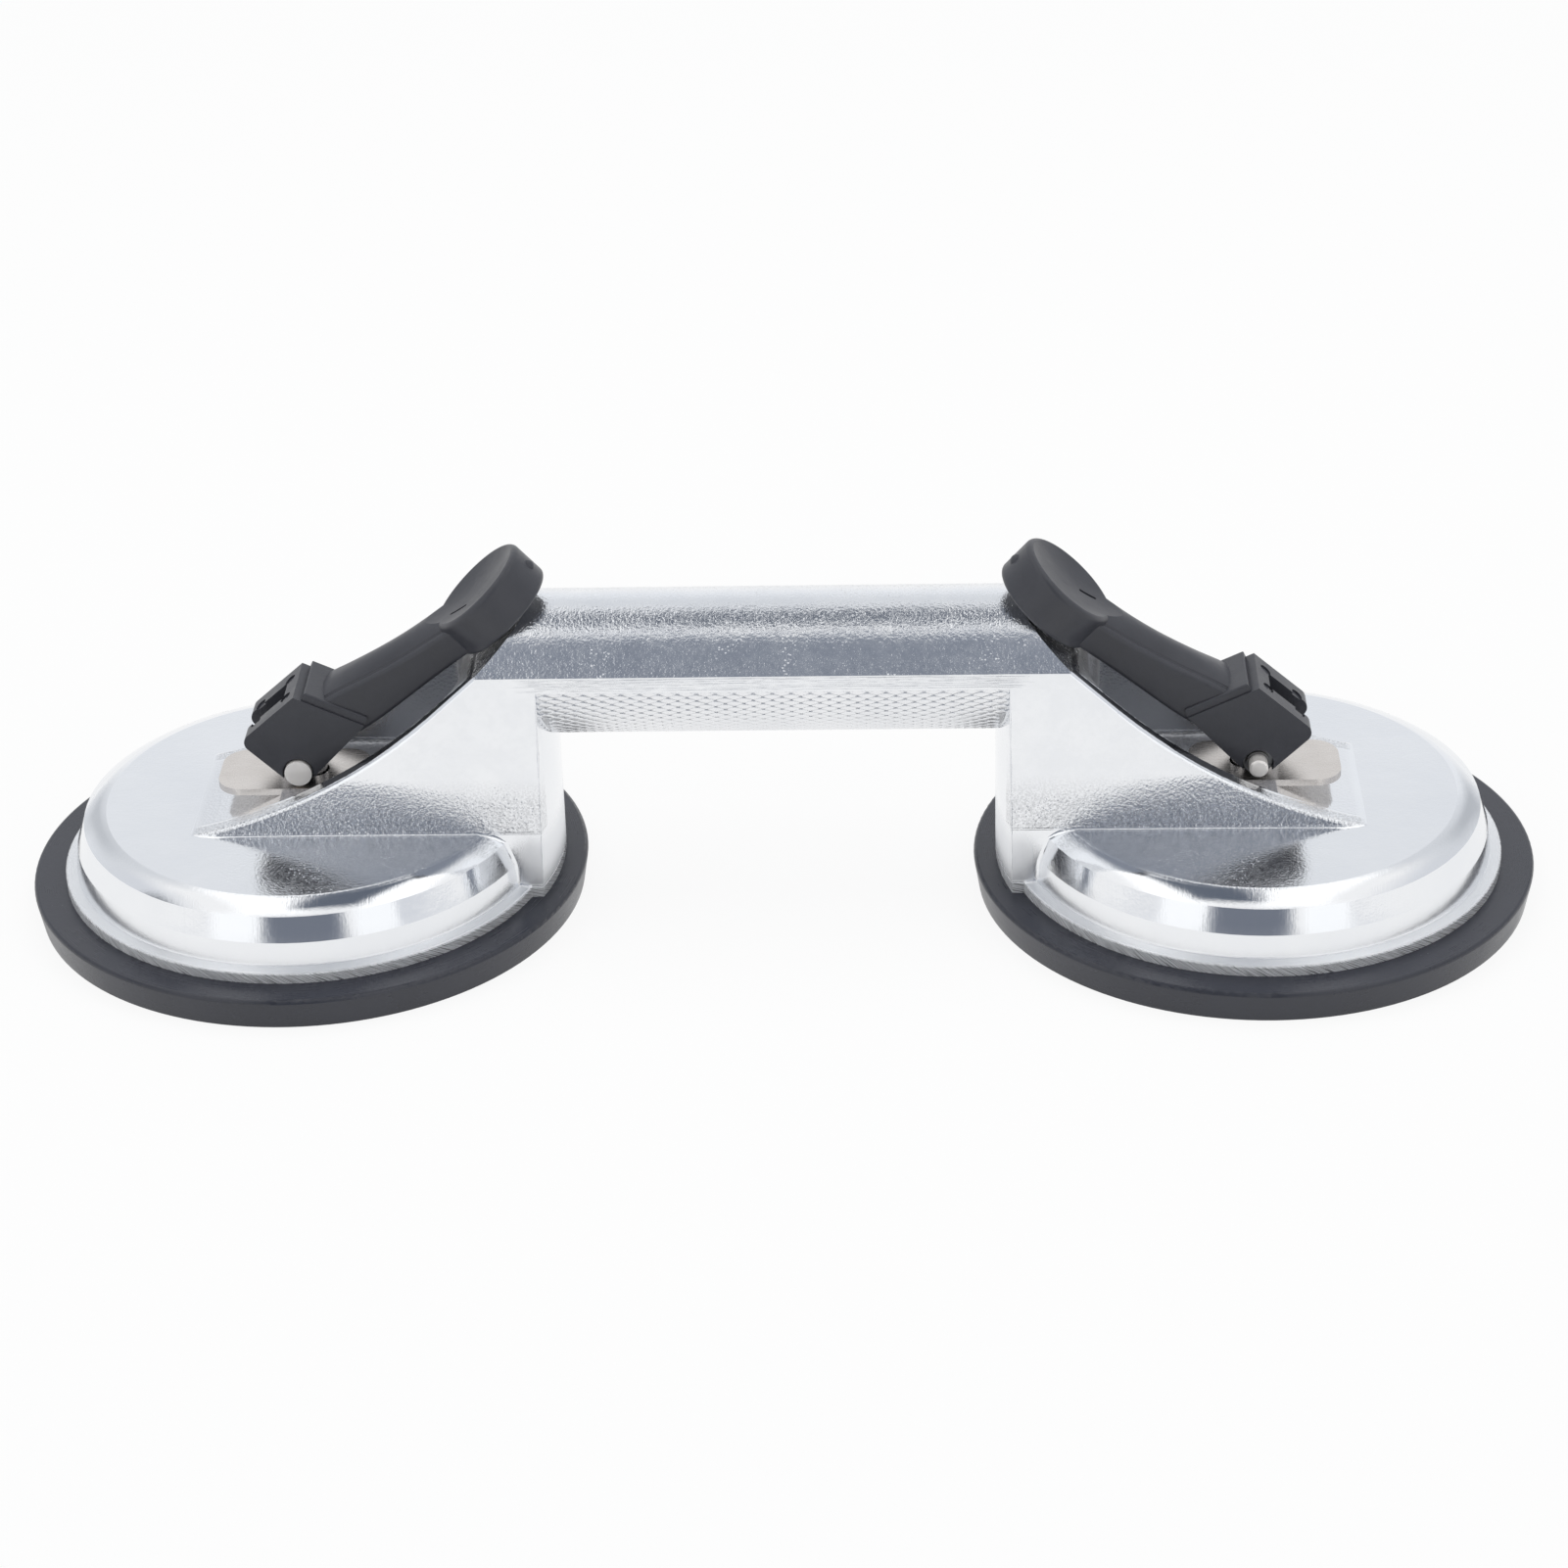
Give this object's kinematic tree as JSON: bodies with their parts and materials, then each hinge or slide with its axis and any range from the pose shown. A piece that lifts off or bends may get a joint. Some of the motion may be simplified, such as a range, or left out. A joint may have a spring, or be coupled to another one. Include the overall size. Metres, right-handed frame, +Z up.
{
  "type": "suction lifter",
  "caption": "Floor tile suction lifter: a cast aluminium hand grip between two flip-lever suction cups with thick rubber pads.",
  "frame": {"origin": "on the floor under the middle of the grip, midway between the two cups", "axes": "+X along the grip from the left cup to the right cup, +Z up, -Y towards the front"},
  "size_m": [0.3236, 0.12, 0.0793],
  "materials": {
    "cast_aluminium": "polished casting, ground flange edge, as-cast pocket",
    "pad_rubber": "moulded black rubber, satin",
    "plate_steel": "nickel-plated steel, satin",
    "inner_steel": "plain zinc-plated steel",
    "pin_steel": "bright plated steel",
    "lever_plastic": "black moulded plastic, fine texture"
  },
  "bodies": {
    "housing": {"body_casting": "cast_aluminium", "rubber_pad_left": "pad_rubber", "rubber_pad_right": "pad_rubber", "wear_plate_left": "plate_steel", "wear_plate_right": "plate_steel"},
    "stud_left": {"pull_stud_left": "inner_steel", "insert_disc_left": "inner_steel"},
    "flip_lever_left": {"lever_left": "lever_plastic", "hinge_pin_left": "pin_steel", "pin_clip_left": "pin_steel"},
    "stud_right": {"pull_stud_right": "inner_steel", "insert_disc_right": "inner_steel"},
    "flip_lever_right": {"lever_right": "lever_plastic", "hinge_pin_right": "pin_steel", "pin_clip_right": "pin_steel"}
  },
  "joints": [
    {"name": "stud_lift_left", "type": "slide", "parent": "housing", "child": "stud_left", "axis": [0, 0, 1], "range_m": [0, 0.01265], "deforming": ["rubber_pad_left"]},
    {"name": "lever_flip_left", "type": "hinge", "parent": "stud_left", "child": "flip_lever_left", "pos_m": [-0.10185, 0, 0.0315], "axis": [0, -1, 0], "range_deg": [0, 139]},
    {"name": "stud_lift_right", "type": "slide", "parent": "housing", "child": "stud_right", "axis": [0, 0, 1], "range_m": [0, 0.01265], "deforming": ["rubber_pad_right"]},
    {"name": "lever_flip_right", "type": "hinge", "parent": "stud_right", "child": "flip_lever_right", "pos_m": [0.10185, 0, 0.0315], "axis": [0, 1, 0], "range_deg": [0, 139]}
  ],
  "couplings": [
    {"joint": "stud_lift_left", "follows": "lever_flip_left", "m_per_rad": 0.0051937},
    {"joint": "stud_lift_right", "follows": "lever_flip_right", "m_per_rad": 0.0051937}
  ]
}
